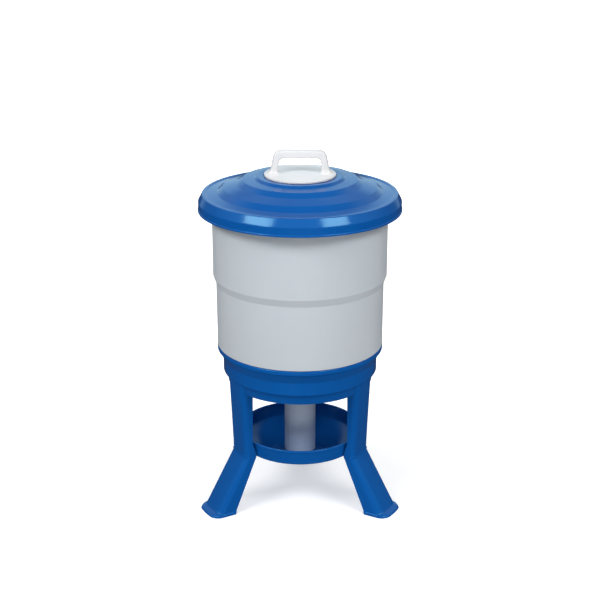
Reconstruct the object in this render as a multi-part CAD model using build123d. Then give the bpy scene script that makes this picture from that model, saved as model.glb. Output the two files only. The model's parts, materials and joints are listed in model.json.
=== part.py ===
from build123d import *
import math
import os

# Gravity poultry feeder on three legs, in millimetres.
# The origin is on the floor, on the axis of the tank. +Z is up, and one leg points to +Y (the rear).

# ---------------------------------------------------------------- driving dimensions
WALL = 3.0                   # wall of the large mouldings
FIT_GAP = 0.4                # gap between mouldings that lift apart

LID_RADIUS = 210.3
LID_BOTTOM = 641.5           # height of the lid's lower edge
LID_SEAT = 710.3             # height of the flat where the cap's seal lies
NECK_BORE = 60.5             # opening in the middle of the lid
NECK_RADIUS = 66.5
NECK_BOTTOM = 697.0
KEY_GROOVE_RADIUS = 64.0     # grooves in the neck that let the cap's lugs through
KEY_GROOVE_HALF_WIDTH = 9.0
LOCATING_RING = (174.0, 176.5, 662.0, 677.5)  # inner and outer radius, bottom and top
LID_STEPS = [                # radius, height and rounding of each bend, from rim to seat
    (209.6, 661.0, 0.0),
    (208.6, 662.2, 0.6),
    (200.3, 676.4, 6.0),
    (170.7, 679.9, 8.0),
    (157.2, 689.4, 10.0),
    (130.0, 698.1, 8.0),
    (116.2, 705.4, 10.0),
    (93.0, 707.0, 5.0),
    (87.0, 711.6, 4.0),
    (75.0, 711.6, 0.0),
    (74.4, LID_SEAT, 0.0),
]

CAP_RADIUS = 73.4
CAP_TOP = 716.2
CAP_EDGE_BOTTOM = 711.9
CAP_EDGE_ROUNDING = 2.4
CAP_SKIRT_RADIUS = 59.5
CAP_SKIRT_WALL = 2.6
CAP_SKIRT_BOTTOM = 691.0
CAP_LUG_RADIUS = 63.5
CAP_LUG_HALF_WIDTH = 6.5
SEAL_INNER_RADIUS = 61.5
SEAL_OUTER_RADIUS = 69.8
CAP_TURN = 60.0              # degrees from locked to the grooves
LUG_AZIMUTH = 90.0           # first of the three lugs, with the cap locked
GRIP_TOP = 764.5
GRIP_DEPTH = 20.0
GRIP_FOOT_HALF_WIDTH = 62.0
GRIP_TOP_HALF_WIDTH = 52.5
GRIP_GAP_TOP = 747.5         # underside of the bar
GRIP_GAP_FOOT = 45.5         # half width of the finger opening at the disc
GRIP_GAP_HEAD = 41.0         # and under the bar
GRIP_CORNER = 17.0
GRIP_GAP_CORNER = 8.0
GRIP_EDGE_ROUNDING = 3.0

TANK_TOP = 674.0
TANK_UPPER_RADIUS = 181.5
TANK_LOWER_RADIUS = 175.4
TANK_STEP_TOP = 504.0        # lower end of the wide part
TANK_STEP_BOTTOM = 487.0     # upper end of the narrow part
SPIGOT_RADIUS = 168.5        # end of the tank, inside the base's lip
SPIGOT_BOTTOM = 333.0
TANK_RIM_RADIUS = 186.5
TANK_RIM_HEIGHT = 6.0
TANK_SEATING_GAP = 0.3       # between the base's lip and the tank's shoulder

LIP_TOP = 350.0              # top of the base, where the tank rests
LIP_RADIUS = 175.0
LIP_INNER_BOTTOM = 343.0     # lower end of the lip's thick part
LIP_FLARE_TOP = 334.5        # the wall widens from the band to the lip between these heights
LIP_FLARE_BOTTOM = 314.5
BAND_RADIUS = 163.2
BAND_BOTTOM = 292.0
SKIRT_RADIUS = 153.1         # lower end of the base's tapered skirt
SKIRT_BOTTOM = 268.8
FUNNEL_EDGE_HEIGHT = 320.0   # the funnel's surface at the band's inner wall
FUNNEL_MOUTH_HEIGHT = 236.0  # the funnel's surface at the spout
SPOUT_RADIUS = 31.2
SPOUT_WALL = 3.0
SPOUT_BOTTOM = 150.0
RIB_COUNT = 6                # ribs under the funnel, two between each pair of legs
RIB_THICKNESS = 2.5
RIB_START = 112.0            # distance of the ribs' inner ends from the axis
SOCKET_START = 130.0
SOCKET_THICKNESS = 4.0
BOSS_RADIUS = 5.0
BOSS_TOP = 307.5
PILOT_TOP = 305.0

TUBE_RADIUS = 33.5
TUBE_BORE = 31.5
TUBE_TOP = 216.0
TUBE_BOTTOM = 100.0
TUBE_BEAD_HEIGHT = 4.0
TUBE_BEAD = 1.0              # how far the bead stands out

DISH_RADIUS = 130.8
DISH_RIM_HEIGHT = 151.4
DISH_UNDERSIDE = 89.5
DISH_WALL = 2.8
DISH_FLOOR_RADIUS = 62.0
DISH_SHOULDER_RADIUS = 126.8
DISH_SHOULDER_HEIGHT = 119.8
DISH_SIDE_RADIUS = 129.8     # side wall at the rim
DISH_RIM_BOTTOM = 147.0
DISH_RIM_INNER_RADIUS = 127.0
DISH_PAD_HALF_WIDTH = 11.0
DISH_PAD_HALF_HEIGHT = 10.0
DISH_PAD_FACE = 134.0        # distance of the fixing pads' faces from the axis
DISH_SCREW_HEIGHT = 135.0
CONE_RADIUS = 29.0
CONE_HEIGHT = 22.0
CONE_TIP_RADIUS = 6.0

LEG_AZIMUTHS = {"leg_front_left": 210.0, "leg_front_right": 330.0, "leg_rear": 90.0}
LEG_WALL = 3.0
LEG_TOP = 291.6
KNEE_HEIGHT = 122.0
COLUMN_HALF_WIDTH = 33.0
FOOT_RADIUS = 224.0          # outer face of a foot at the floor
FOOT_LIP_RADIUS = 233.5
FOOT_LIP_HEIGHT = 6.0
FOOT_LIP_HALF_WIDTH = 39.0
FOOT_LIP_CORNER = 23.0
FOOT_LIP_ROUNDING = 2.2
LEG_PLATE_THICKNESS = 3.6
BRACKET_TOP = 150.0
KNEE_RIB_HALF_THICKNESS = 1.2
LEG_STACK = [                # height, outer face, inner edge, half width and corner radius of the leg
    (LEG_TOP, 158.0, 132.2, COLUMN_HALF_WIDTH, 12.0),
    (215.0, 154.0, 133.3, COLUMN_HALF_WIDTH, 12.0),
    (153.0, 151.2, 133.8, COLUMN_HALF_WIDTH, 12.0),
    (138.0, 150.5, 129.5, COLUMN_HALF_WIDTH, 12.0),
    (KNEE_HEIGHT, 150.4, 125.2, COLUMN_HALF_WIDTH, 12.0),
    (0.0, FOOT_RADIUS, 180.0, 36.0, 18.0),
]

SCREW_RADIUS = 2.0           # shank of the screws between the legs and the base
SCREW_PILOT = 2.05
SCREW_CLEARANCE = 2.4
BOLT_RADIUS = 2.5            # shank of the screws between the dish and the legs
BOLT_CLEARANCE = 2.8
LEG_SCREW_RADIUS = 147.0     # distance of the leg screws from the axis
LEG_SCREW_SPREAD = 18.0      # half the distance between a leg's two screws
LEG_SCREW_END = 303.0
LEG_SCREW_HEAD_RADIUS = 4.4
LEG_SCREW_HEAD_HEIGHT = 2.8
LEG_SCREW_RECESS = 1.6       # radius of the driver recess
DISH_SCREW_START = 122.0     # distance of the dish screws' heads from the axis
DISH_SCREW_HEAD_RADIUS = 4.6
DISH_SCREW_HEAD_HEIGHT = 3.0
DISH_SCREW_RECESS = 1.8
NUT_RADIUS = 4.6
NUT_THICKNESS = 4.0


# ---------------------------------------------------------------- helpers
def offset_path(points, distance):
    """Mitred copy of an open path, moved to the left of its direction."""
    normals = []
    for (x0, y0), (x1, y1) in zip(points, points[1:]):
        length = math.hypot(x1 - x0, y1 - y0)
        normals.append(((y0 - y1) / length, (x1 - x0) / length))
    moved = []
    for index, (x, y) in enumerate(points):
        before = normals[max(index - 1, 0)]
        after = normals[min(index, len(normals) - 1)]
        scale = distance / (1.0 + before[0] * after[0] + before[1] * after[1])
        moved.append((x + scale * (before[0] + after[0]), y + scale * (before[1] + after[1])))
    return moved


def turned_wall(points, radii, wall):
    """Shell of revolution whose outer face follows the path (radius, height), with rounded corners."""
    inner_points = offset_path(points, wall)
    outer = FilletPolyline(*points, radius=radii)
    inner = FilletPolyline(*inner_points, radius=radii)
    ends = [Line(points[0], inner_points[0]), Line(points[-1], inner_points[-1])]
    edges = outer.edges() + inner.edges() + [end.edge() for end in ends]
    return revolve(Plane.XZ * make_face(edges), Axis.Z)


def turned(points, radii=None):
    """Solid of revolution of a closed outline of (radius, height) points."""
    if radii is None:
        outline = Polyline(*points, close=True)
    else:
        outline = FilletPolyline(*points, radius=radii, close=True)
    return revolve(Plane.XZ * make_face(outline.edges()), Axis.Z)


def ring(inner_radius, outer_radius, bottom, top):
    corners = [(inner_radius, bottom), (outer_radius, bottom), (outer_radius, top), (inner_radius, top)]
    return turned(corners)


def upright_cylinder(radius, bottom, top, x=0.0, y=0.0):
    return Pos(x, y, bottom) * Cylinder(radius, top - bottom, align=(Align.CENTER, Align.CENTER, Align.MIN))


def radial_cylinder(radius, start, end, height):
    """Cylinder that lies along +X, from one distance from the axis to another."""
    lying = Cylinder(radius, end - start, align=(Align.CENTER, Align.CENTER, Align.MIN))
    return Pos(start, 0, height) * Rot(0, 90, 0) * lying


def block(x0, x1, half_width, z0, z1):
    """Box between two distances from the axis and two heights, centred on the X axis."""
    return Pos((x0 + x1) / 2, 0, (z0 + z1) / 2) * Box(x1 - x0, 2 * half_width, z1 - z0)


# ---------------------------------------------------------------- lid and cap
def make_lid():
    bends = [(radius, height) for radius, height, rounding in LID_STEPS]
    roundings = [rounding for radius, height, rounding in LID_STEPS]
    lid = turned_wall([(LID_RADIUS, LID_BOTTOM)] + bends + [(NECK_BORE, LID_SEAT)], roundings, WALL)
    lid = lid + ring(NECK_BORE, NECK_RADIUS, NECK_BOTTOM, LID_SEAT - WALL / 2)
    lid = lid + ring(*LOCATING_RING)
    groove = block(NECK_BORE - 4, KEY_GROOVE_RADIUS, KEY_GROOVE_HALF_WIDTH, NECK_BOTTOM - 1, LID_SEAT + 1)
    for index in range(3):
        lid = lid - Rot(0, 0, LUG_AZIMUTH + CAP_TURN + 120 * index) * groove
    return lid


def arch_face(foot_half_width, top_half_width, bottom, top, corner_radius):
    """Upright face with a flat foot and two rounded upper corners."""
    points = [
        (-foot_half_width, bottom),
        (-top_half_width, top),
        (top_half_width, top),
        (foot_half_width, bottom),
    ]
    sides_and_top = FilletPolyline(*points, radius=[corner_radius, corner_radius]).edges()
    foot = Line(points[-1], points[0]).edge()
    return Plane.XZ * make_face(sides_and_top + [foot])


def make_grip():
    """Arch of the cap, seen along Y: wider at its feet than at its top."""
    outside = arch_face(GRIP_FOOT_HALF_WIDTH, GRIP_TOP_HALF_WIDTH, CAP_TOP - 1, GRIP_TOP, GRIP_CORNER)
    opening = arch_face(GRIP_GAP_FOOT, GRIP_GAP_HEAD, CAP_TOP - 2, GRIP_GAP_TOP, GRIP_GAP_CORNER)
    arch = extrude(outside, GRIP_DEPTH / 2, both=True) - extrude(opening, GRIP_DEPTH, both=True)
    long_edges = arch.edges().filter_by(Axis.Y, reverse=True).filter_by(
        lambda edge: edge.center().Z > CAP_TOP)
    return fillet(long_edges, GRIP_EDGE_ROUNDING)


def make_filler_cap():
    plate_bottom = CAP_TOP - WALL
    edge_inside = CAP_RADIUS - WALL
    outline = [
        (0, plate_bottom),
        (edge_inside, plate_bottom),
        (edge_inside, CAP_EDGE_BOTTOM),
        (CAP_RADIUS, CAP_EDGE_BOTTOM),
        (CAP_RADIUS, CAP_TOP),
        (0, CAP_TOP),
    ]
    cap = turned(outline, [0, 0, 0, 0, CAP_EDGE_ROUNDING, 0])
    skirt_bore = CAP_SKIRT_RADIUS - CAP_SKIRT_WALL
    cap = cap + ring(skirt_bore, CAP_SKIRT_RADIUS, CAP_SKIRT_BOTTOM, plate_bottom + 1) + make_grip()
    lug_top = NECK_BOTTOM - FIT_GAP
    lug = block(CAP_SKIRT_RADIUS - 1, CAP_LUG_RADIUS, CAP_LUG_HALF_WIDTH, CAP_SKIRT_BOTTOM, lug_top)
    for index in range(3):
        cap = cap + Rot(0, 0, LUG_AZIMUTH + 120 * index) * lug
    return cap


def make_cap_seal():
    return ring(SEAL_INNER_RADIUS, SEAL_OUTER_RADIUS, LID_SEAT + FIT_GAP, CAP_TOP - WALL)


# ---------------------------------------------------------------- tank
def make_tank():
    outer = [
        (SPIGOT_RADIUS, SPIGOT_BOTTOM),
        (SPIGOT_RADIUS, LIP_TOP + TANK_SEATING_GAP),
        (TANK_LOWER_RADIUS, LIP_TOP + TANK_SEATING_GAP),
        (TANK_LOWER_RADIUS, TANK_STEP_BOTTOM),
        (TANK_UPPER_RADIUS, TANK_STEP_TOP),
        (TANK_UPPER_RADIUS, TANK_TOP),
    ]
    tank = turned_wall(outer, [0.0, 6.0, 3.0, 2.0], WALL)
    rolled_rim = ring(TANK_UPPER_RADIUS - 1, TANK_RIM_RADIUS, TANK_TOP - TANK_RIM_HEIGHT, TANK_TOP)
    return tank + rolled_rim


# ---------------------------------------------------------------- base with funnel
def funnel_height(radius):
    """Height of the funnel's upper surface at a distance from the axis."""
    inner_wall = BAND_RADIUS - WALL
    slope = (FUNNEL_EDGE_HEIGHT - FUNNEL_MOUTH_HEIGHT) / (inner_wall - SPOUT_RADIUS)
    return FUNNEL_MOUTH_HEIGHT + slope * (radius - SPOUT_RADIUS)


def make_outer_band():
    outer = [
        (SKIRT_RADIUS, SKIRT_BOTTOM),
        (BAND_RADIUS - 1.2, BAND_BOTTOM),
        (BAND_RADIUS, BAND_BOTTOM + 0.6),
        (BAND_RADIUS, LIP_FLARE_BOTTOM),
        (LIP_RADIUS - 2.0, LIP_FLARE_TOP),
        (LIP_RADIUS, 341.0),
        (LIP_RADIUS, LIP_TOP),
    ]
    band = turned_wall(outer, [0.0, 0.0, 6.0, 4.0, 2.0], WALL)
    lip = ring(SPIGOT_RADIUS + FIT_GAP, LIP_RADIUS, LIP_INNER_BOTTOM, LIP_TOP)
    return band + lip


def make_funnel():
    """Cone with its spout. It meets the band's inner wall."""
    wall_radius = BAND_RADIUS - WALL / 2
    drop = 3.6               # the wall's thickness, measured upright
    bore = SPOUT_RADIUS - SPOUT_WALL
    return turned([
        (wall_radius, funnel_height(wall_radius)),
        (bore, funnel_height(bore)),
        (bore, SPOUT_BOTTOM),
        (SPOUT_RADIUS, SPOUT_BOTTOM),
        (SPOUT_RADIUS, funnel_height(SPOUT_RADIUS) - drop),
        (wall_radius, funnel_height(wall_radius) - drop),
    ])


def make_funnel_rib():
    """Upright rib under the funnel, along +X."""
    outline = [
        (RIB_START, funnel_height(RIB_START) - 2.0),
        (RIB_START, funnel_height(RIB_START) - 6.0),
        (157.0, 281.0),
        (160.8, 293.0),
        (160.8, 317.5),
    ]
    face = make_face(Polyline(*outline, close=True).edges())
    return extrude(Plane.XZ * face, RIB_THICKNESS / 2, both=True)


def make_leg_socket():
    """Plate and two screw bosses that a leg is fastened to, along +X."""
    half_width = COLUMN_HALF_WIDTH + 1
    plate_top = BAND_BOTTOM + SOCKET_THICKNESS
    socket = block(SOCKET_START, BAND_RADIUS - 6.0, half_width, BAND_BOTTOM, plate_top)
    band_wall = ring(100.0, BAND_RADIUS - 1.5, BAND_BOTTOM, plate_top)
    socket = socket + (block(150.0, BAND_RADIUS + 4, half_width, BAND_BOTTOM, plate_top) & band_wall)
    for side in (-LEG_SCREW_SPREAD, LEG_SCREW_SPREAD):
        socket = socket + upright_cylinder(BOSS_RADIUS, BAND_BOTTOM + 1, BOSS_TOP, LEG_SCREW_RADIUS, side)
    return socket


def make_funnel_base():
    base = make_outer_band() + make_funnel()
    for index in range(RIB_COUNT):
        base = base + Rot(0, 0, index * 360.0 / RIB_COUNT) * make_funnel_rib()
    gap_for_leg = block(120.0, 170.0, COLUMN_HALF_WIDTH + FIT_GAP, SKIRT_BOTTOM - 5, BAND_BOTTOM)
    pilot_holes = [
        upright_cylinder(SCREW_PILOT, BAND_BOTTOM - 2, PILOT_TOP, LEG_SCREW_RADIUS, side)
        for side in (-LEG_SCREW_SPREAD, LEG_SCREW_SPREAD)
    ]
    for azimuth in LEG_AZIMUTHS.values():
        turn = Rot(0, 0, azimuth)
        base = base + turn * make_leg_socket()
        base = base - turn * gap_for_leg
        for hole in pilot_holes:
            base = base - turn * hole
    return base


# ---------------------------------------------------------------- flow tube and dish
def make_flow_tube():
    tube = ring(TUBE_BORE, TUBE_RADIUS, TUBE_BOTTOM, TUBE_TOP)
    bead = ring(TUBE_BORE + 0.5, TUBE_RADIUS + TUBE_BEAD, TUBE_TOP - TUBE_BEAD_HEIGHT, TUBE_TOP)
    return tube + bead


def make_dish_shell():
    outer = [
        (0, DISH_UNDERSIDE),
        (DISH_FLOOR_RADIUS, DISH_UNDERSIDE),
        (DISH_SHOULDER_RADIUS, DISH_SHOULDER_HEIGHT),
        (DISH_SIDE_RADIUS, DISH_RIM_HEIGHT),
    ]
    shell = turned_wall(outer, [8.0, 5.0], DISH_WALL)
    rim_outline = [
        (DISH_RIM_INNER_RADIUS, DISH_RIM_BOTTOM),
        (DISH_RADIUS, DISH_RIM_BOTTOM),
        (DISH_RADIUS, DISH_RIM_HEIGHT),
        (DISH_RIM_INNER_RADIUS, DISH_RIM_HEIGHT),
    ]
    return shell + turned(rim_outline, [0, 1.0, 1.6, 1.0])


def make_centre_cone():
    """Cone under the tube that spreads the feed outward."""
    floor = DISH_UNDERSIDE + DISH_WALL
    outline = [
        (0, floor - 1),
        (CONE_RADIUS, floor - 1),
        (CONE_RADIUS, floor + 1),
        (CONE_TIP_RADIUS, floor + CONE_HEIGHT),
        (0, floor + CONE_HEIGHT),
    ]
    return turned(outline, [0, 0, 2.0, 6.0, 0])


def make_feed_dish():
    dish = make_dish_shell() + make_centre_cone()
    pad_bottom = DISH_SCREW_HEIGHT - DISH_PAD_HALF_HEIGHT
    pad_top = DISH_SCREW_HEIGHT + DISH_PAD_HALF_HEIGHT
    pad = block(120.0, DISH_PAD_FACE, DISH_PAD_HALF_WIDTH, pad_bottom, pad_top)
    pad = pad & ring(DISH_SHOULDER_RADIUS - 0.3, DISH_PAD_FACE + 6, pad_bottom - 5, pad_top + 5)
    hole = radial_cylinder(BOLT_CLEARANCE, 115.0, DISH_PAD_FACE + 6, DISH_SCREW_HEIGHT)
    for azimuth in LEG_AZIMUTHS.values():
        dish = dish + Rot(0, 0, azimuth) * pad
        dish = dish - Rot(0, 0, azimuth) * hole
    return dish


# ---------------------------------------------------------------- legs
def leg_outline(height, outer, inner, half_width, corner):
    """Level face of a leg along +X: square toward the axis and rounded outward."""
    points = [(inner, -half_width), (outer, -half_width), (outer, half_width), (inner, half_width)]
    lines = FilletPolyline(*points, radius=[corner, corner]).edges() + [Line(points[-1], points[0]).edge()]
    return Pos(0, 0, height) * make_face(lines)


def make_leg_shell():
    outside = []
    inside = []
    for height, outer, inner, half_width, corner in LEG_STACK:
        outside.append(leg_outline(height, outer, inner, half_width, corner))
        core = (outer - LEG_WALL, inner - 8, half_width - LEG_WALL, corner - LEG_WALL)
        inside.append(leg_outline(height, *core))
    return loft(outside, ruled=True) - loft(inside, ruled=True)


def make_foot_lip():
    """Out-turned lip round the foot, with a rounded upper edge."""
    plan = leg_outline(0, FOOT_LIP_RADIUS, 179.0, FOOT_LIP_HALF_WIDTH, FOOT_LIP_CORNER)
    core = leg_outline(0, FOOT_RADIUS - LEG_WALL, 160.0, 33.0, 15.0)
    lip = extrude(plan, FOOT_LIP_HEIGHT)
    upper_edges = lip.faces().sort_by(Axis.Z)[-1].edges()
    lip = fillet(upper_edges.sort_by(Axis.X)[1:], FOOT_LIP_ROUNDING)
    return lip - extrude(core, FOOT_LIP_HEIGHT)


def make_leg():
    plate = leg_outline(0, 157.6, 132.6, COLUMN_HALF_WIDTH - 0.5, 11.5)
    plate = Pos(0, 0, LEG_TOP - LEG_PLATE_THICKNESS) * extrude(plate, LEG_PLATE_THICKNESS)
    inside_half_width = COLUMN_HALF_WIDTH - 1
    bracket = block(DISH_PAD_FACE, DISH_PAD_FACE + LEG_WALL, inside_half_width, KNEE_HEIGHT, BRACKET_TOP)
    rib_bottom = KNEE_HEIGHT - KNEE_RIB_HALF_THICKNESS
    rib_top = KNEE_HEIGHT + KNEE_RIB_HALF_THICKNESS
    knee_rib = block(130.0, 148.0, inside_half_width, rib_bottom, rib_top)
    leg = make_leg_shell() + plate + bracket + knee_rib + make_foot_lip()
    for side in (-LEG_SCREW_SPREAD, LEG_SCREW_SPREAD):
        leg = leg - upright_cylinder(SCREW_CLEARANCE, LEG_TOP - 10, LEG_TOP + 1, LEG_SCREW_RADIUS, side)
    leg = leg - radial_cylinder(BOLT_CLEARANCE, DISH_PAD_FACE - 4, DISH_PAD_FACE + 6, DISH_SCREW_HEIGHT)
    return leg


# ---------------------------------------------------------------- fasteners
def make_leg_screw(side):
    """Screw from below through a leg's top plate into the base."""
    plate_bottom = LEG_TOP - LEG_PLATE_THICKNESS
    head_bottom = plate_bottom - LEG_SCREW_HEAD_HEIGHT
    head = upright_cylinder(LEG_SCREW_HEAD_RADIUS, head_bottom, plate_bottom, LEG_SCREW_RADIUS, side)
    shank = upright_cylinder(SCREW_RADIUS, plate_bottom - 1, LEG_SCREW_END, LEG_SCREW_RADIUS, side)
    recess_top = head_bottom + 1.6
    recess = upright_cylinder(LEG_SCREW_RECESS, head_bottom - 1, recess_top, LEG_SCREW_RADIUS, side)
    return head + shank - recess


def make_dish_screw():
    """Screw from inside the dish through the pad and the leg's bracket."""
    head_end = DISH_SCREW_START + DISH_SCREW_HEAD_HEIGHT
    head = radial_cylinder(DISH_SCREW_HEAD_RADIUS, DISH_SCREW_START, head_end, DISH_SCREW_HEIGHT)
    shank = radial_cylinder(BOLT_RADIUS, head_end - 1, DISH_PAD_FACE + 9, DISH_SCREW_HEIGHT)
    recess_end = DISH_SCREW_START + 1.4
    recess = radial_cylinder(DISH_SCREW_RECESS, DISH_SCREW_START - 1, recess_end, DISH_SCREW_HEIGHT)
    return head + shank - recess


def make_dish_nut():
    hexagon = extrude(RegularPolygon(NUT_RADIUS, 6), NUT_THICKNESS)
    nut = Pos(DISH_PAD_FACE + LEG_WALL, 0, DISH_SCREW_HEIGHT) * Rot(0, 90, 0) * hexagon
    thread = radial_cylinder(BOLT_RADIUS + 0.05, DISH_PAD_FACE, DISH_PAD_FACE + 10, DISH_SCREW_HEIGHT)
    return nut - thread


def around_legs(shapes):
    """One copy of each shape at every leg, as a group of separate solids."""
    copies = []
    for azimuth in LEG_AZIMUTHS.values():
        copies.extend(Rot(0, 0, azimuth) * shape for shape in shapes)
    return Compound(children=copies)


# ---------------------------------------------------------------- the whole feeder
def make_nodes():
    leg = make_leg()
    nodes = {
        "lid": make_lid(),
        "filler_cap": make_filler_cap(),
        "cap_seal": make_cap_seal(),
        "hopper_tank": make_tank(),
        "funnel_base": make_funnel_base(),
        "flow_tube": make_flow_tube(),
        "feed_dish": make_feed_dish(),
        "leg_screws": around_legs([make_leg_screw(-LEG_SCREW_SPREAD), make_leg_screw(LEG_SCREW_SPREAD)]),
        "dish_screws": around_legs([make_dish_screw()]),
        "dish_nuts": around_legs([make_dish_nut()]),
    }
    for name, azimuth in LEG_AZIMUTHS.items():
        nodes[name] = Rot(0, 0, azimuth) * leg
    return nodes


os.makedirs("parts", exist_ok=True)
for name, shape in make_nodes().items():
    export_step(shape, f"parts/{name}.step")
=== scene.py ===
import json
import math

import bmesh
import bpy
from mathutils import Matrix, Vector


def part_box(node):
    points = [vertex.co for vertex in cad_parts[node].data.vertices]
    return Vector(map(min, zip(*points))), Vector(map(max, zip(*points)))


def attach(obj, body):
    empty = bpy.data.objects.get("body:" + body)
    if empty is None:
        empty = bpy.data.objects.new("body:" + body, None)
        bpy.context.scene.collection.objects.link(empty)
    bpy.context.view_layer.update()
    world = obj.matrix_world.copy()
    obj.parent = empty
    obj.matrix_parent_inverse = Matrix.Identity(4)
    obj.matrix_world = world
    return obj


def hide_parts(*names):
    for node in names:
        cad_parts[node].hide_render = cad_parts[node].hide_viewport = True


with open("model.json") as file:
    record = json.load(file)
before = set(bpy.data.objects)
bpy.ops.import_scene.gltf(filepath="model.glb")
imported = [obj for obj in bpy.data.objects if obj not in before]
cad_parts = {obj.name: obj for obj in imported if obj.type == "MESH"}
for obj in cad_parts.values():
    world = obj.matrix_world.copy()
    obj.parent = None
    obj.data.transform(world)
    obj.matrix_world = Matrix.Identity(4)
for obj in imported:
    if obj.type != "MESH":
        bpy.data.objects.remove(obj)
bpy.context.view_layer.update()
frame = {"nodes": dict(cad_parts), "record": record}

# ---------------------------------------------------------------- sizes, in millimetres
MM = 0.001
SEGMENTS = 216               # divisions round the turned mouldings
ARC_STEPS = 6                # divisions of each rounded corner in an outline
CREASE = math.radians(34.0)  # edges sharper than this stay sharp

LID_LOW, LID_HIGH = (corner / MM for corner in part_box("lid"))
CAP_LOW, CAP_HIGH = (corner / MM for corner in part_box("filler_cap"))
TANK_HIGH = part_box("hopper_tank")[1] / MM
BASE_LOW, BASE_HIGH = (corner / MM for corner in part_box("funnel_base"))
TUBE_LOW, TUBE_HIGH = (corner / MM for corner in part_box("flow_tube"))
DISH_LOW, DISH_HIGH = (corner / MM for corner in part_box("feed_dish"))
LEG_TOP = (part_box("leg_rear")[1] / MM).z

WALL = 3.0
SEAT = 710.3                 # flat on the lid where the cap's seal lies
NECK_BORE = 60.5             # inside radius of the lid's neck, under the seat
NECK_OUTSIDE = 66.5
NECK_BOTTOM = 697.0
CAP_DISC_TOP = 716.2
CAP_DISC_UNDERSIDE = 713.2
CAP_SKIRT = (56.9, 59.5)     # inside and outside radius of the cap's skirt
LUG_TOP = 696.6
LUG_AZIMUTHS = (90.0, 210.0, 330.0)
GROOVE_AZIMUTHS = (30.0, 150.0, 270.0)
LIP_TOP = BASE_HIGH.z
LIP_INSIDE = 168.9
SPIGOT_BOTTOM = 341.2        # lower end of the tank, inside the base's lip
SKIRT_FOOT = 268.8
BAND_BOTTOM = 292.0
BAND_RADIUS = 163.2
FUNNEL_FOOT = 236.0          # height where the funnel meets the spout
FUNNEL_TOP = 320.0
FUNNEL_MOUTH = 160.2         # radius of the funnel at its top
SPOUT_RADIUS = 31.2
PAD_FACE = 134.0             # distance of the dish's fixing pads from the axis
SCREW_HEIGHT = 135.0         # height of the screws between dish and legs
LEG_HALF_WIDTH = 33.0
LEG_CORNER = 12.0            # radius of a leg's two outer edges
KNEE = 122.0                 # height of the bend in a leg
FOOT_LIP = 8.8               # with the face's crown it reaches the foot's full size
LEG_SCREWS = (147.0, 18.0)   # a leg's two screws: distance from the axis, and half their spacing
LEG_AZIMUTHS = {"leg_front_left": 210.0, "leg_front_right": 330.0, "leg_rear": 90.0}
PILOT_HOLE_RADIUS = 2.05
LEG_HOLE_RADIUS = 2.4
DISH_HOLE_RADIUS = 2.8


# ---------------------------------------------------------------- outlines
def rounded(points, radii):
    """Path through the points with a smooth bend at each inner corner."""
    path = [points[0]]
    for before, corner, after, radius in zip(points, points[1:], points[2:], radii):
        middle = Vector(corner)
        back = Vector(before) - middle
        ahead = Vector(after) - middle
        opening = back.angle(ahead)
        if radius <= 0 or opening > math.radians(179.0):
            path.append(corner)
            continue
        reach = min(radius / math.tan(opening / 2), 0.49 * back.length, 0.49 * ahead.length)
        start = middle + back.normalized() * reach
        end = middle + ahead.normalized() * reach
        for step in range(ARC_STEPS + 1):
            t = step / ARC_STEPS
            point = (1 - t) ** 2 * start + 2 * t * (1 - t) * middle + t ** 2 * end
            path.append((point.x, point.y))
    path.append(points[-1])
    return path


def closed_outline(corners):
    """Closed outline from (radius, height, bend radius) corners."""
    points = [(x, y) for x, y, _ in corners]
    bends = [bend for _, _, bend in corners]
    path = rounded([points[-1]] + points + [points[0]], bends)
    return path[1:-1]


def smooth_value(height, knots, blend):
    """Value at a height, along straight runs that bend smoothly within a distance of each knot."""
    if height <= knots[0][0]:
        return knots[0][1]
    if height >= knots[-1][0]:
        return knots[-1][1]
    slopes = [(b[1] - a[1]) / (b[0] - a[0]) for a, b in zip(knots, knots[1:])]
    run = max(index for index, knot in enumerate(knots[:-1]) if height >= knot[0])
    value = knots[run][1] + slopes[run] * (height - knots[run][0])
    for index in range(1, len(knots) - 1):
        offset = height - knots[index][0]
        if abs(offset) < blend:
            value += (slopes[index] - slopes[index - 1]) * (blend - abs(offset)) ** 2 / (4 * blend)
    return value


# ---------------------------------------------------------------- mesh building
def add_turned(working, outline, segments=SEGMENTS):
    """Turns a closed outline of (radius, height) points about the Z axis."""
    columns = []
    for radius, height in outline:
        if radius < 1e-6:
            columns.append([working.verts.new((0, 0, height))] * segments)
            continue
        column = []
        for step in range(segments):
            angle = 2 * math.pi * step / segments
            column.append(working.verts.new((radius * math.cos(angle), radius * math.sin(angle), height)))
        columns.append(column)
    for first, second in zip(columns, columns[1:] + columns[:1]):
        for step in range(segments):
            after = (step + 1) % segments
            unique = list(dict.fromkeys([first[step], first[after], second[after], second[step]]))
            if len(unique) >= 3:
                working.faces.new(unique)


def add_lofted(working, loops):
    """Skins a stack of closed loops that have the same number of points, and closes its ends."""
    rings = [[working.verts.new(point) for point in loop] for loop in loops]
    count = len(rings[0])
    for low, high in zip(rings, rings[1:]):
        for step in range(count):
            after = (step + 1) % count
            working.faces.new([low[step], low[after], high[after], high[step]])
    working.faces.new(rings[0][::-1])
    working.faces.new(rings[-1])


def rounded_rectangle(half_a, half_b, radius, steps=5):
    """Points of a rectangle with rounded corners, about its centre."""
    radius = min(radius, half_a, half_b)
    points = []
    for corner, (sign_a, sign_b) in enumerate([(1, 1), (-1, 1), (-1, -1), (1, -1)]):
        for step in range(steps + 1):
            angle = math.radians(90 * corner + 90 * step / steps)
            points.append((
                sign_a * (half_a - radius) + radius * math.cos(angle),
                sign_b * (half_b - radius) + radius * math.sin(angle),
            ))
    return points


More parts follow.
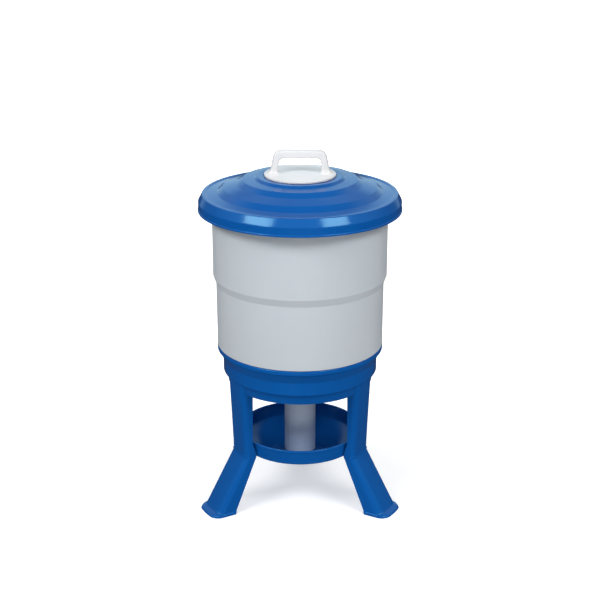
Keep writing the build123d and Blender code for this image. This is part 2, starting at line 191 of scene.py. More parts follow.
def add_block(working, x0, x1, half_width, z0, z1, radius=0.6):
    """Upright block with rounded vertical edges, along +X from the axis."""
    section = rounded_rectangle((x1 - x0) / 2, half_width, radius, 3)
    middle = (x0 + x1) / 2
    add_lofted(working, [[(middle + a, b, z) for a, b in section] for z in (z0, z1)])


def add_round_bar(working, start, end, radius, segments=24):
    """Round bar between two points."""
    axis = (Vector(end) - Vector(start)).normalized()
    side = axis.orthogonal().normalized()
    other = axis.cross(side)
    loops = []
    for centre in (Vector(start), Vector(end)):
        loop = []
        for step in range(segments):
            angle = 2 * math.pi * step / segments
            loop.append(centre + radius * (math.cos(angle) * side + math.sin(angle) * other))
        loops.append(loop)
    add_lofted(working, loops)


def turn_copies(working, build, azimuths):
    """Builds a shape once for every azimuth about the Z axis."""
    for azimuth in azimuths:
        before = set(working.verts)
        build(working)
        fresh = [vert for vert in working.verts if vert not in before]
        spin = math.radians(azimuth)
        for vert in fresh:
            x, y, z = vert.co
            vert.co = (x * math.cos(spin) - y * math.sin(spin), x * math.sin(spin) + y * math.cos(spin), z)


def at_every_leg(build):
    """Build function that repeats a shape, made along +X, at the three legs."""
    return lambda working: turn_copies(working, build, LEG_AZIMUTHS.values())


def mesh_object(name, build):
    """New object whose mesh the build function fills, in millimetres."""
    mesh = bpy.data.meshes.new(name)
    working = bmesh.new()
    build(working)
    bmesh.ops.remove_doubles(working, verts=working.verts, dist=0.002)
    bmesh.ops.recalc_face_normals(working, faces=working.faces)
    bmesh.ops.scale(working, vec=(MM, MM, MM), verts=working.verts)
    working.to_mesh(mesh)
    working.free()
    piece = bpy.data.objects.new(name, mesh)
    bpy.context.scene.collection.objects.link(piece)
    return piece


def combine(piece, operation, build):
    """Joins to the piece, or cuts from it, the solid that the build function makes."""
    tool = mesh_object(piece.name + "_tool", build)
    change = piece.modifiers.new("combine", "BOOLEAN")
    change.operation = operation
    change.solver = "MANIFOLD"
    change.object = tool
    result = piece.evaluated_get(bpy.context.evaluated_depsgraph_get())
    mesh = bpy.data.meshes.new_from_object(result)
    piece.modifiers.clear()
    piece.data = mesh
    bpy.data.objects.remove(tool)


def smooth_shading(piece):
    for polygon in piece.data.polygons:
        polygon.use_smooth = True
    piece.data.set_sharp_from_angle(angle=CREASE)


# ---------------------------------------------------------------- materials
def node_material(name):
    material = bpy.data.materials.new(name)
    material.use_nodes = True
    nodes = material.node_tree.nodes
    return material, nodes, material.node_tree.links, nodes["Principled BSDF"]


def noise(nodes, links, scale, detail=3.0, stretch=(1.0, 1.0, 1.0)):
    mapping = nodes.new("ShaderNodeMapping")
    mapping.inputs["Scale"].default_value = stretch
    links.new(nodes.new("ShaderNodeTexCoord").outputs["Object"], mapping.inputs["Vector"])
    texture = nodes.new("ShaderNodeTexNoise")
    texture.inputs["Scale"].default_value = scale
    texture.inputs["Detail"].default_value = detail
    links.new(mapping.outputs["Vector"], texture.inputs["Vector"])
    return texture.outputs["Fac"]


def ramp(nodes, links, source, stops):
    """Colour ramp: stops are (position, colour), and a single number stands for a grey."""
    node = nodes.new("ShaderNodeValToRGB")
    while len(node.color_ramp.elements) < len(stops):
        node.color_ramp.elements.new(0.5)
    for element, (position, colour) in zip(node.color_ramp.elements, stops):
        element.position = position
        element.color = (*colour, 1.0) if isinstance(colour, tuple) else (colour, colour, colour, 1.0)
    links.new(source, node.inputs["Fac"])
    return node.outputs["Color"]


def add_bump(nodes, links, shader, layers):
    """Chain of bumps: layers are (height source, strength, distance in metres)."""
    normal = None
    for height, strength, distance in layers:
        bump = nodes.new("ShaderNodeBump")
        bump.inputs["Strength"].default_value = strength
        bump.inputs["Distance"].default_value = distance
        links.new(height, bump.inputs["Height"])
        if normal:
            links.new(normal, bump.inputs["Normal"])
        normal = bump.outputs["Normal"]
    links.new(normal, shader.inputs["Normal"])


def blue_plastic():
    """Glossy moulded polypropylene with faint flow marks, fine grain and handling marks."""
    material, nodes, links, shader = node_material("blue_polypropylene")
    flow = noise(nodes, links, 7.0, 4.0)
    links.new(ramp(nodes, links, flow, [(0.30, (0.0030, 0.091, 0.365)), (0.72, (0.0036, 0.102, 0.395))]),
              shader.inputs["Base Color"])
    handling = noise(nodes, links, 48.0, 6.0, (1.0, 1.0, 0.4))
    links.new(ramp(nodes, links, handling, [(0.40, 0.13), (0.62, 0.17), (0.80, 0.25)]),
              shader.inputs["Roughness"])
    shader.inputs["Specular IOR Level"].default_value = 0.40
    shader.inputs["Specular Tint"].default_value = (0.42, 0.88, 1.0, 1.0)
    add_bump(nodes, links, shader, [
        (noise(nodes, links, 520.0, 2.0), 0.04, 0.0002),
        (noise(nodes, links, 12.0, 2.0), 0.06, 0.0010),
    ])
    return material


def tank_plastic():
    """Milky polyethylene: light goes a little way in, and the skin has a fine satin grain."""
    material, nodes, links, shader = node_material("milky_polyethylene")
    cloud = noise(nodes, links, 6.0, 3.0, (1.0, 1.0, 0.45))
    links.new(ramp(nodes, links, cloud, [(0.30, (0.600, 0.650, 0.700)), (0.75, (0.625, 0.675, 0.725))]),
              shader.inputs["Base Color"])
    skin = noise(nodes, links, 70.0, 5.0, (1.0, 1.0, 0.3))
    links.new(ramp(nodes, links, skin, [(0.3, 0.42), (0.8, 0.54)]), shader.inputs["Roughness"])
    shader.inputs["Subsurface Weight"].default_value = 0.35
    shader.inputs["Subsurface Radius"].default_value = (0.9, 1.0, 1.1)
    shader.inputs["Subsurface Scale"].default_value = 0.005
    add_bump(nodes, links, shader, [
        (noise(nodes, links, 600.0, 2.0), 0.10, 0.0002),
        (noise(nodes, links, 11.0, 2.0, (1.0, 1.0, 0.4)), 0.10, 0.0012),
    ])
    return material


def white_plastic():
    """Glossy white polypropylene with a faint cloudiness and fine handling marks."""
    material, nodes, links, shader = node_material("white_polypropylene")
    cloud = noise(nodes, links, 18.0, 3.0)
    links.new(ramp(nodes, links, cloud, [(0.3, (0.80, 0.803, 0.812)), (0.7, (0.83, 0.833, 0.842))]),
              shader.inputs["Base Color"])
    skin = noise(nodes, links, 90.0, 5.0)
    links.new(ramp(nodes, links, skin, [(0.3, 0.30), (0.8, 0.42)]), shader.inputs["Roughness"])
    add_bump(nodes, links, shader, [(noise(nodes, links, 240.0, 2.0), 0.02, 0.0002)])
    return material


def grey_plastic():
    """Extruded pipe: faint lines along its length."""
    material, nodes, links, shader = node_material("grey_pipe")
    lines = noise(nodes, links, 130.0, 4.0, (1.0, 1.0, 0.02))
    links.new(ramp(nodes, links, lines, [(0.3, (0.46, 0.54, 0.64)), (0.75, (0.51, 0.59, 0.69))]),
              shader.inputs["Base Color"])
    dust = noise(nodes, links, 40.0, 5.0)
    links.new(ramp(nodes, links, dust, [(0.3, 0.30), (0.8, 0.44)]), shader.inputs["Roughness"])
    add_bump(nodes, links, shader, [
        (lines, 0.10, 0.0003),
        (noise(nodes, links, 600.0, 2.0), 0.05, 0.0002),
    ])
    return material


def seal_rubber():
    material, nodes, links, shader = node_material("black_rubber")
    dust = noise(nodes, links, 60.0, 5.0)
    links.new(ramp(nodes, links, dust, [(0.3, 0.018), (0.8, 0.040)]), shader.inputs["Base Color"])
    links.new(ramp(nodes, links, dust, [(0.3, 0.62), (0.8, 0.80)]), shader.inputs["Roughness"])
    add_bump(nodes, links, shader, [(noise(nodes, links, 1200.0, 3.0), 0.25, 0.0002)])
    return material


def zinc_steel():
    material, nodes, links, shader = node_material("zinc_plated_steel")
    spangle = noise(nodes, links, 300.0, 4.0)
    links.new(ramp(nodes, links, spangle, [(0.3, (0.50, 0.51, 0.52)), (0.8, (0.66, 0.67, 0.68))]),
              shader.inputs["Base Color"])
    shader.inputs["Metallic"].default_value = 1.0
    links.new(ramp(nodes, links, spangle, [(0.3, 0.28), (0.8, 0.42)]), shader.inputs["Roughness"])
    add_bump(nodes, links, shader, [(noise(nodes, links, 1500.0, 2.0), 0.15, 0.0001)])
    return material


MATERIALS = {
    "blue_plastic": blue_plastic(),
    "tank_plastic": tank_plastic(),
    "white_plastic": white_plastic(),
    "grey_plastic": grey_plastic(),
    "seal_rubber": seal_rubber(),
    "screw_steel": zinc_steel(),
}
NODE_SLOTS = {part["node"]: part["material_slot"] for part in frame["record"]["subparts"]}
for node, slot in NODE_SLOTS.items():
    cad = frame["nodes"][node]
    cad.data.materials.clear()
    cad.data.materials.append(MATERIALS[slot])


def finish_piece(piece, body, node):
    """Smooths a piece, and gives it its material and its place in the frame."""
    smooth_shading(piece)
    slot = NODE_SLOTS[node]
    piece.data.materials.clear()
    piece.data.materials.append(MATERIALS[slot])
    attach(piece, body)
    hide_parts(node)


# ---------------------------------------------------------------- lid
def build_lid(working):
    """Stepped lid in one moulding: rim, flange, three steps, the cap's seat, neck and locating ring."""
    edge = LID_HIGH.x
    foot = LID_LOW.z
    add_turned(working, closed_outline([
        # outside, from the rim's lower edge up to the seat
        (edge, foot, 1.1),
        (edge, foot + 3.4, 2.2),
        (edge - 1.3, foot + 4.6, 0.8),
        (edge - 1.2, 660.4, 0.5),
        (208.4, 661.9, 0.9),
        (201.0, 676.0, 0.9),
        (199.9, 676.9, 0.7),
        (193.0, 677.25, 0.8),
        (191.2, 676.1, 1.2),
        (170.4, 679.4, 3.0),
        (158.2, 689.3, 4.0),
        (130.6, 697.3, 3.0),
        (117.8, 705.3, 4.0),
        (93.6, 706.9, 2.5),
        (88.0, 711.6, 2.0),
        (75.0, 711.6, 0.3),
        (74.4, SEAT, 0.3),
        # neck
        (NECK_BORE, SEAT, 0.8),
        (NECK_BORE, NECK_BOTTOM, 0.5),
        (NECK_OUTSIDE, NECK_BOTTOM, 0.5),
        (NECK_OUTSIDE, SEAT - WALL, 1.0),
        # underside, back out to the rim
        (85.6, SEAT - WALL + 1.0, 2.0),
        (92.6, 703.7, 3.0),
        (116.4, 702.2, 6.0),
        (130.0, 694.3, 9.0),
        (157.2, 686.2, 8.0),
        (168.6, 677.8, 5.0),
        (174.0, 676.0, 0.5),
        (174.0, 662.0, 0.5),
        (176.5, 662.0, 0.5),
        (176.5, 675.4, 0.5),
        (194.6, 673.0, 3.0),
        (199.4, 673.6, 3.0),
        (206.2, 660.9, 3.0),
        (edge - 3.6, foot, 0.8),
    ]))


def build_neck_groove(working):
    """Groove in the neck that lets one of the cap's lugs through, along +X."""
    add_block(working, NECK_BORE - 4.0, 64.0, 9.0, NECK_BOTTOM - 1.0, SEAT + 1.0)


lid = mesh_object("lid_moulding", build_lid)
combine(lid, "DIFFERENCE", lambda working: turn_copies(working, build_neck_groove, GROOVE_AZIMUTHS))
finish_piece(lid, "lid", "lid")


# ---------------------------------------------------------------- filler cap
def build_cap_disc(working):
    """Disc and skirt of the cap."""
    skirt_inside, skirt_outside = CAP_SKIRT
    add_turned(working, closed_outline([
        (0.0, CAP_DISC_TOP, 0.0),
        (CAP_HIGH.x, CAP_DISC_TOP, 2.6),
        (CAP_HIGH.x, 711.9, 0.5),
        (70.4, 711.9, 0.5),
        (70.4, CAP_DISC_UNDERSIDE, 0.5),
        (skirt_outside, CAP_DISC_UNDERSIDE, 0.8),
        (skirt_outside, CAP_LOW.z, 0.8),
        (skirt_inside, CAP_LOW.z, 0.8),
        (skirt_inside, CAP_DISC_UNDERSIDE, 1.5),
        (0.0, CAP_DISC_UNDERSIDE, 0.0),
    ]), 144)


def build_grip(working):
    """Arch that the cap is turned and lifted by. Its feet spread into the disc."""
    base = CAP_DISC_TOP
    crest = CAP_HIGH.z
    soffit = 747.5
    outer = rounded([(-62.0, base), (-52.5, crest), (52.5, crest), (62.0, base)], [21.0, 21.0])
    inner = rounded([(-45.5, base), (-41.0, soffit), (41.0, soffit), (45.5, base)], [10.0, 10.0])
    post_steps = 8
    stations = [(outer[0], inner[0])]
    for step in range(1, post_steps):
        share = step / post_steps
        stations.append((
            tuple(a + share * (b - a) for a, b in zip(outer[0], outer[1])),
            tuple(a + share * (b - a) for a, b in zip(inner[0], inner[1])),
        ))
    stations += list(zip(outer[1:-1], inner[1:-1]))
    stations += [((-o[0], o[1]), (-i[0], i[1])) for o, i in reversed(stations[:post_steps])]
    loops = []
    for out_point, in_point in stations:
        flare = 5.0 * max(0.0, 1.0 - (min(out_point[1], in_point[1]) - base) / 7.0) ** 2.2
        out_vector, in_vector = Vector(out_point), Vector(in_point)
        centre = (out_vector + in_vector) / 2
        across = (out_vector - in_vector).normalized()
        half = (out_vector - in_vector).length / 2 + flare
        section = rounded_rectangle(half, 10.0 + flare, 4.6, 6)
        loops.append([(centre.x + a * across.x, b, centre.y + a * across.y) for a, b in section])
    sink = [[(x, y, z - 2.0) for x, y, z in loop] for loop in (loops[0], loops[-1])]
    add_lofted(working, [sink[0]] + loops + [sink[1]])


def build_lug(working):
    """Lug on the cap's skirt, along +X."""
    add_block(working, 58.5, 63.5, 6.5, CAP_LOW.z, LUG_TOP, 1.2)


cap = mesh_object("cap_moulding", build_cap_disc)
combine(cap, "UNION", build_grip)
combine(cap, "UNION", lambda working: turn_copies(working, build_lug, LUG_AZIMUTHS))
finish_piece(cap, "cap", "filler_cap")


# ---------------------------------------------------------------- tank
def build_tank(working):
    """Tank with its spigot, shoulder, step in the wall and rolled rim."""
    top = TANK_HIGH.z
    rim = TANK_HIGH.x
    add_turned(working, closed_outline([
        (168.5, SPIGOT_BOTTOM, 0.8),
        (168.5, LIP_TOP + 0.3, 0.4),
        (174.6, LIP_TOP + 0.3, 2.6),
        (175.4, 487.5, 2.4),
        (181.5, 503.6, 2.4),
        (181.5, top - 6.0, 1.0),
        (rim, top - 6.0, 1.6),
        (rim, top, 2.2),
        (178.5, top, 1.2),
        (178.5, 504.2, 3.0),
        (172.4, 488.0, 3.0),
        (171.9, LIP_TOP + 2.6, 2.0),
        (165.5, LIP_TOP + 1.6, 2.0),
        (165.5, SPIGOT_BOTTOM, 0.8),
    ]))


tank = mesh_object("tank_moulding", build_tank)
finish_piece(tank, "tank", "hopper_tank")


# ---------------------------------------------------------------- base
def funnel_height(radius):
    """Height of the funnel's upper face at a distance from the axis."""
    slope = (FUNNEL_TOP - FUNNEL_FOOT) / (FUNNEL_MOUTH - SPOUT_RADIUS)
    return FUNNEL_FOOT + slope * (radius - SPOUT_RADIUS)


def build_base(working):
    """Lip, band, skirt, funnel and spout, turned in one."""
    edge = BASE_HIGH.x
    spout_bore = SPOUT_RADIUS - WALL
    add_turned(working, closed_outline([
        (153.1, SKIRT_FOOT, 0.9),
        (157.0, BAND_BOTTOM - 2.0, 1.0),
        (BAND_RADIUS - 0.6, BAND_BOTTOM, 0.6),
        (BAND_RADIUS, BAND_BOTTOM + 0.8, 0.6),
        (BAND_RADIUS, FUNNEL_TOP, 9.0),
        (edge - 3.2, 338.0, 1.6),
        (edge - 3.2, 340.0, 0.5),
        (edge, 340.8, 0.9),
        (edge, LIP_TOP, 3.2),
        (LIP_INSIDE, LIP_TOP, 0.6),
        (LIP_INSIDE, 340.6, 1.0),
        (FUNNEL_MOUTH, FUNNEL_TOP + 3.0, 4.0),
        (158.0, funnel_height(158.0), 1.5),
        (spout_bore + 1.0, funnel_height(spout_bore + 1.0), 3.0),
        (spout_bore, BASE_LOW.z, 0.8),
        (SPOUT_RADIUS, BASE_LOW.z, 0.8),
        (SPOUT_RADIUS, funnel_height(SPOUT_RADIUS) - 3.6, 3.0),
        (157.0, funnel_height(157.0) - 3.6, 2.0),
        (160.0, 313.0, 1.0),
        (160.0, BAND_BOTTOM + 3.0, 1.0),
        (153.9, BAND_BOTTOM - 2.6, 1.0),
        (150.2, SKIRT_FOOT, 0.9),
    ]))


def build_leg_gap(working):
    """Gap in the skirt for the top of a leg, along +X."""
    add_block(working, 120.0, 170.0, LEG_HALF_WIDTH + 0.4, 262.0, BAND_BOTTOM, 0.0)


def build_rib(working):
    """Upright rib under the funnel, along +X."""
    outline = [
        (112.0, funnel_height(112.0) - 2.0),
        (112.0, funnel_height(112.0) - 7.0),
        (153.6, 280.0),
        (155.2, 289.0),
        (160.6, 295.0),
        (161.0, 318.0),
    ]
    add_lofted(working, [[(x, side, z) for x, z in outline] for side in (-1.25, 1.25)])


def build_leg_socket(working):
    """Plate that a leg's top is screwed up against, along +X. Its outer edge lies in the band's wall."""
    arc = []
    radius = 161.6
    half_steps = 6
    half_angle = math.asin((LEG_HALF_WIDTH + 1.0) / radius)
    for step in range(2 * half_steps + 1):
        angle = half_angle * (1 - step / half_steps)
        arc.append((radius * math.cos(angle), radius * math.sin(angle)))
    plan = [(130.0, LEG_HALF_WIDTH + 1.0)] + arc + [(130.0, -LEG_HALF_WIDTH - 1.0)]
    add_lofted(working, [[(x, y, z) for x, y in plan] for z in (BAND_BOTTOM, BAND_BOTTOM + 4.0)])


def build_bosses(working):
    """Two bosses that take a leg's screws."""
    distance, spread = LEG_SCREWS
    for side in (-spread, spread):
        add_round_bar(working, (distance, side, BAND_BOTTOM + 1.0), (distance, side, 307.5), 5.0, 32)


def build_pilot_holes(working):
    """Holes up the bosses for a leg's screws."""
    distance, spread = LEG_SCREWS
    for side in (-spread, spread):
        low, high = (distance, side, BAND_BOTTOM - 2.0), (distance, side, 305.0)
        add_round_bar(working, low, high, PILOT_HOLE_RADIUS)


base = mesh_object("base_moulding", build_base)
combine(base, "DIFFERENCE", at_every_leg(build_leg_gap))
combine(base, "UNION", lambda working: turn_copies(working, build_rib, range(0, 360, 60)))
combine(base, "UNION", at_every_leg(build_leg_socket))
combine(base, "UNION", at_every_leg(build_bosses))
combine(base, "DIFFERENCE", at_every_leg(build_pilot_holes))
finish_piece(base, "stand", "funnel_base")


# ---------------------------------------------------------------- flow tube
def build_tube(working):
    """Open tube with a slightly wider collar at its top."""
    outside = 33.5
    bore = 31.6
    add_turned(working, closed_outline([
        (outside, TUBE_LOW.z, 0.8),
        (outside, TUBE_HIGH.z - 4.6, 0.6),
        (TUBE_HIGH.x, TUBE_HIGH.z - 4.0, 0.6),
        (TUBE_HIGH.x, TUBE_HIGH.z, 1.0),
        (bore, TUBE_HIGH.z, 0.6),
        (bore, TUBE_LOW.z, 0.6),
    ]), 120)


tube = mesh_object("tube_moulding", build_tube)
finish_piece(tube, "tube", "flow_tube")


# ---------------------------------------------------------------- dish
def build_dish(working):
    """Dish with a rolled rim and a low cone in its middle that spreads the feed."""
    foot = DISH_LOW.z
    floor = foot + 2.8
    cone_height = 22.0
    rim = DISH_HIGH.x
    top = DISH_HIGH.z
    add_turned(working, closed_outline([
        (0.0, foot, 0.0),
        (62.0, foot, 8.0),
        (126.8, 119.8, 5.0),
        (129.3, top - 4.6, 0.6),
        (rim, top - 4.2, 0.8),
        (rim, top, 1.8),
        (127.0, top, 1.4),
        (126.4, top - 4.0, 1.0),
        (124.0, 121.6, 4.0),
        (61.4, floor, 8.0),
        (29.0, floor, 3.0),
        (6.0, floor + cone_height, 6.0),
        (0.0, floor + cone_height, 0.0),
    ]))


def build_pad(working):
    """Fixing pad on the dish's side, along +X. Its inner end lies inside the dish's wall."""
    section = rounded_rectangle(11.0, 10.0, 3.0, 4)
    add_lofted(working, [[(x, a, SCREW_HEIGHT + b) for a, b in section] for x in (126.6, PAD_FACE)])


def build_pad_hole(working):
    """Screw hole through a fixing pad and the dish's wall."""
    add_round_bar(working, (115.0, 0, SCREW_HEIGHT), (PAD_FACE + 6.0, 0, SCREW_HEIGHT), DISH_HOLE_RADIUS)


dish = mesh_object("dish_moulding", build_dish)
combine(dish, "UNION", at_every_leg(build_pad))
combine(dish, "DIFFERENCE", at_every_leg(build_pad_hole))
finish_piece(dish, "stand", "feed_dish")


# ---------------------------------------------------------------- legs
# Knots of a leg's shape. Each is a height and what the leg measures there: its outer face's and its
# inner edges' distance from the axis, half its width, and the radius of its outer edges.
OUTER_FACE = [(0.0, 224.0), (KNEE, 150.4), (138.0, 150.5), (153.0, 151.2), (215.0, 154.0), (LEG_TOP, 158.0)]
INNER_EDGE = [(0.0, 180.0), (KNEE, 125.2), (138.0, 129.5), (153.0, 133.8), (215.0, 133.3), (LEG_TOP, 132.2)]
SIDE = [(0.0, 36.0), (KNEE, LEG_HALF_WIDTH), (LEG_TOP, LEG_HALF_WIDTH)]
CORNER = [(0.0, 18.0), (KNEE, LEG_CORNER), (LEG_TOP, LEG_CORNER)]
SIDE_SHARES = (0.0, 0.04, 0.3, 0.65)   # points along a leg's side, from its inner edge
CORNER_STEPS = 9
FACE_STEPS = 8
FACE_CROWN = 0.7                       # how far the outer face bulges in its middle


def leg_contour(outer, inner, half_width, corner, crown):
    """Open contour of a leg's section, from one inner edge round the outer face to the other."""
    points = [(inner + share * (outer - corner - inner), -half_width) for share in SIDE_SHARES]
    for step in range(CORNER_STEPS + 1):
        angle = math.radians(-90 + 90 * step / CORNER_STEPS)
        u = outer - corner + corner * math.cos(angle)
        w = -half_width + corner + corner * math.sin(angle)
        points.append((u, w))
    first_half = list(points)
    flat = half_width - corner
    for step in range(1, FACE_STEPS):
        across = -flat + 2 * flat * step / FACE_STEPS
        points.append((outer + crown * (1 - (across / flat) ** 2), across))
    return points + [(u, -w) for u, w in reversed(first_half)]


def leg_section(height, grow=0.0):
    """Closed section of the leg's wall at a height. Grow moves its outside outward."""
    outer = smooth_value(height, OUTER_FACE, 5.0)
    inner = smooth_value(height, INNER_EDGE, 3.0)
    half_width = smooth_value(height, SIDE, 5.0)
    corner = smooth_value(height, CORNER, 5.0)
    outside = leg_contour(outer + grow, inner, half_width + grow * 0.33, corner + grow * 0.5, FACE_CROWN)
    inside = leg_contour(outer - WALL, inner, half_width - WALL, corner - WALL, FACE_CROWN)
    return [(u, w, height) for u, w in outside + inside[::-1]]


def section_spacing(height):
    """Distance to the next section of a leg: close together where the leg bends."""
    if abs(height - KNEE) < 7:
        return 1.5
    if abs(height - 145) < 14:
        return 2.5
    return 6.0


def build_leg(working):
    """Wall of the leg with its foot's out-turned lip, along +X."""
    lip = FOOT_LIP
    lip_profile = [
        (0.0, lip - 0.6), (0.6, lip), (3.6, lip), (4.9, lip - 0.7), (5.8, lip - 2.2),
        (6.0, lip - 3.4), (6.2, 1.6), (7.2, 0.5), (8.8, 0.0),
    ]
    loops = [leg_section(height, grow) for height, grow in lip_profile]
    height = 14.0
    while height < LEG_TOP - 1.0:
        loops.append(leg_section(height))
        height += section_spacing(height)
    loops.append(leg_section(LEG_TOP - 0.9))
    loops.append([(u, w * 0.985, LEG_TOP) for u, w, _ in leg_section(LEG_TOP, -0.4)])
    add_lofted(working, loops)


def build_leg_webs(working):
    """Top plate, and the bracket that holds the dish."""
    half_width = LEG_HALF_WIDTH - 1.2
    section = leg_contour(157.0, 132.8, half_width, 11.0, 0.5)
    add_lofted(working, [[(u, w, z) for u, w in section] for z in (LEG_TOP - 3.6, LEG_TOP - 0.05)])
    add_block(working, PAD_FACE, PAD_FACE + WALL, half_width, KNEE, 150.0, 0.8)


def build_knee_rib(working):
    """Flat rib across the inside of the knee."""
    add_block(working, 130.0, 148.6, LEG_HALF_WIDTH - 1.2, KNEE - 1.2, KNEE + 1.2, 0.8)


def build_leg_holes(working):
    """Screw holes through a leg's top plate and its bracket."""
    distance, spread = LEG_SCREWS
    for side in (-spread, spread):
        low, high = (distance, side, LEG_TOP - 10.0), (distance, side, LEG_TOP + 2.0)
        add_round_bar(working, low, high, LEG_HOLE_RADIUS)
    near, far = (PAD_FACE - 3.0, 0, SCREW_HEIGHT), (PAD_FACE + 6.0, 0, SCREW_HEIGHT)
    add_round_bar(working, near, far, DISH_HOLE_RADIUS)


leg_shape = mesh_object("leg_shape", build_leg)
combine(leg_shape, "UNION", build_leg_webs)
combine(leg_shape, "UNION", build_knee_rib)
combine(leg_shape, "DIFFERENCE", build_leg_holes)
for node, azimuth in LEG_AZIMUTHS.items():
    leg = bpy.data.objects.new(node + "_moulding", leg_shape.data.copy())
    bpy.context.scene.collection.objects.link(leg)
    leg.rotation_euler = (0.0, 0.0, math.radians(azimuth))
    bpy.context.view_layer.update()
    leg.data.transform(leg.matrix_world)
    leg.rotation_euler = (0.0, 0.0, 0.0)
    bpy.context.view_layer.update()
    finish_piece(leg, "stand", node)
bpy.data.objects.remove(leg_shape)


# ---------------------------------------------------------------- stage, light and camera
FLOOR_HALF_SIZE = 30.0
BACKDROP_RADIUS = 28.0
RIM_TARGET = (0.0, -0.18, 0.66)          # point by the front of the lid's rim, which the softboxes face
CAMERA_PLACE = (0.0, -2.639, 1.380)
CAMERA_PITCH = 19.58                     # degrees below level
CAMERA_LENS = 79.74
CAMERA_SENSOR = 36.0


def add_floor():
    """Wide pale floor, which only the camera sees. Its emission is painted light: the floor glows, and
    glows less near the feeder, which paints shade round the feeder, so the floor is brighter far off.
    """
    mesh = bpy.data.meshes.new("studio_floor")
    half = FLOOR_HALF_SIZE
    corners = [(-half, -half, 0), (half, -half, 0), (half, half, 0), (-half, half, 0)]
    mesh.from_pydata(corners, [], [(0, 1, 2, 3)])
    floor = bpy.data.objects.new("studio_floor", mesh)
    bpy.context.scene.collection.objects.link(floor)
    material, nodes, links, shader = node_material("studio_floor")
    shader.inputs["Base Color"].default_value = (0.85, 0.85, 0.85, 1.0)
    shader.inputs["Roughness"].default_value = 0.9
    shader.inputs["Specular IOR Level"].default_value = 0.1
    shader.inputs["Emission Color"].default_value = (1.0, 1.0, 1.0, 1.0)
    mapping = nodes.new("ShaderNodeMapping")
    mapping.inputs["Scale"].default_value = (0.4, 0.4, 0.4)
    links.new(nodes.new("ShaderNodeTexCoord").outputs["Object"], mapping.inputs["Vector"])
    distance = nodes.new("ShaderNodeTexGradient")
    distance.gradient_type = "SPHERICAL"
    links.new(mapping.outputs["Vector"], distance.inputs["Vector"])
    # Painted light: emission strength falls off towards the feeder, a painted shade round it, while the
    # floor glows brighter far off.
    painted_floor_glow = [(0.0, 0.90), (0.60, 0.88), (0.76, 0.66), (0.90, 0.42)]
    links.new(ramp(nodes, links, distance.outputs["Fac"], painted_floor_glow), shader.inputs["Emission Strength"])
    floor.data.materials.append(material)
    floor.visible_diffuse = False
    floor.visible_glossy = False
    floor.visible_shadow = False


def add_backdrop():
    """Plain white studio wall all round, which only the camera sees."""
    mesh = bpy.data.meshes.new("studio_backdrop")
    working = bmesh.new()
    bmesh.ops.create_uvsphere(working, u_segments=48, v_segments=24, radius=BACKDROP_RADIUS)
    working.to_mesh(mesh)
    working.free()
    backdrop = bpy.data.objects.new("studio_backdrop", mesh)
    bpy.context.scene.collection.objects.link(backdrop)
    material, nodes, links, shader = node_material("studio_backdrop")
    shader.inputs["Base Color"].default_value = (0.0, 0.0, 0.0, 1.0)
    shader.inputs["Specular IOR Level"].default_value = 0.0
    shader.inputs["Emission Color"].default_value = (1.0, 1.0, 1.0, 1.0)
    shader.inputs["Emission Strength"].default_value = 1.0
    backdrop.data.materials.append(material)
    backdrop.visible_diffuse = False
    backdrop.visible_glossy = False
    backdrop.visible_transmission = False
    backdrop.visible_shadow = False


def add_area_light(name, location, target, width, height, radiance, glossy=True, colour=(1.0, 1.0, 1.0)):
    """Rectangular light aimed at a point. One that isn't glossy adds soft light but no highlight."""
    light = bpy.data.lights.new(name, "AREA")
    light.shape = "RECTANGLE"
    light.size = width
    light.size_y = height
    light.energy = radiance * math.pi * width * height
    light.color = colour
    lamp = bpy.data.objects.new(name, light)
    lamp.location = location
    lamp.rotation_euler = (Vector(target) - Vector(location)).to_track_quat("-Z", "Y").to_euler()
    lamp.visible_camera = False
    lamp.visible_glossy = glossy
    bpy.context.scene.collection.objects.link(lamp)


def add_softbox(name, azimuth, elevation, distance, width, height, radiance):
    """Softbox at an angle from the front, aimed at the lid's rim."""
    target = Vector(RIM_TARGET)
    side, up = math.radians(azimuth), math.radians(elevation)
    direction = Vector((math.sin(side) * math.cos(up), -math.cos(side) * math.cos(up), math.sin(up)))
    add_area_light(name, target + direction * distance, target, width, height, radiance)


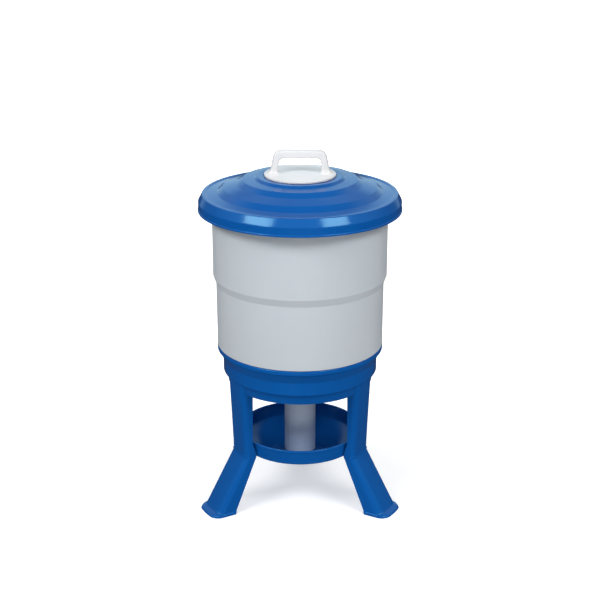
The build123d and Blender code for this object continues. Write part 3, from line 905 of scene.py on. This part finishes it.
def add_world():
    """Dark studio with a bluish patch of wall behind, and a brighter band high up everywhere else."""
    world = bpy.data.worlds.new("studio_world")
    world.use_nodes = True
    nodes = world.node_tree.nodes
    links = world.node_tree.links
    split = nodes.new("ShaderNodeSeparateXYZ")
    links.new(nodes.new("ShaderNodeTexCoord").outputs["Generated"], split.inputs["Vector"])

    def spread(axis):
        """Direction along an axis, brought from -1..1 to 0..1."""
        half = nodes.new("ShaderNodeMath")
        half.operation = "MULTIPLY_ADD"
        half.inputs[1].default_value = 0.5
        half.inputs[2].default_value = 0.5
        links.new(split.outputs[axis], half.inputs[0])
        return half.outputs["Value"]

    wall = (0.62, 0.92, 1.06)
    rear_stops = [(0.0, 0.05), (0.485, 0.03), (0.50, wall), (0.69, wall), (0.75, 0.16)]
    front_stops = [
        (0.0, 0.05), (0.48, 0.04), (0.50, 0.09), (0.64, 0.16),
        (0.74, 0.70), (0.84, 0.70), (0.92, 0.25),
    ]
    rear = ramp(nodes, links, spread("Z"), rear_stops)
    front = ramp(nodes, links, spread("Z"), front_stops)
    blend = nodes.new("ShaderNodeMix")
    blend.data_type = "RGBA"
    links.new(ramp(nodes, links, spread("Y"), [(0.84, 0.0), (0.95, 1.0)]), blend.inputs["Factor"])
    links.new(front, blend.inputs["A"])
    links.new(rear, blend.inputs["B"])
    links.new(blend.outputs["Result"], nodes["Background"].inputs["Color"])
    nodes["Background"].inputs["Strength"].default_value = 1.0
    bpy.context.scene.world = world


def add_camera():
    """Camera in front of the feeder, looking down at it."""
    data = bpy.data.cameras.new("camera")
    data.sensor_width = CAMERA_SENSOR
    data.lens = CAMERA_LENS
    camera = bpy.data.objects.new("camera", data)
    camera.location = CAMERA_PLACE
    camera.rotation_euler = (math.radians(90.0 - CAMERA_PITCH), 0.0, 0.0)
    bpy.context.scene.collection.objects.link(camera)
    bpy.context.scene.camera = camera


add_floor()
add_backdrop()
add_softbox("softbox_left", -54.5, 37.0, 2.2, 1.16, 0.65, 11.5)
add_softbox("softbox_right", 46.0, 38.0, 2.2, 1.02, 0.65, 10.5)
add_area_light("front_fill", (0.35, -3.3, -0.35), (0.0, 0.0, 0.35), 2.6, 0.9, 3.8, glossy=False)
add_area_light("rear_fill", (0.0, 3.4, 1.1), (0.0, 0.0, 0.4), 3.0, 1.8, 2.4,
               glossy=False, colour=(1.0, 0.96, 0.93))
add_area_light("floor_return", (0.0, -0.4, -0.10), (0.0, -0.4, 1.0), 4.0, 4.0, 0.36, glossy=False)
add_world()
add_camera()
bpy.context.scene.view_settings.view_transform = "Standard"
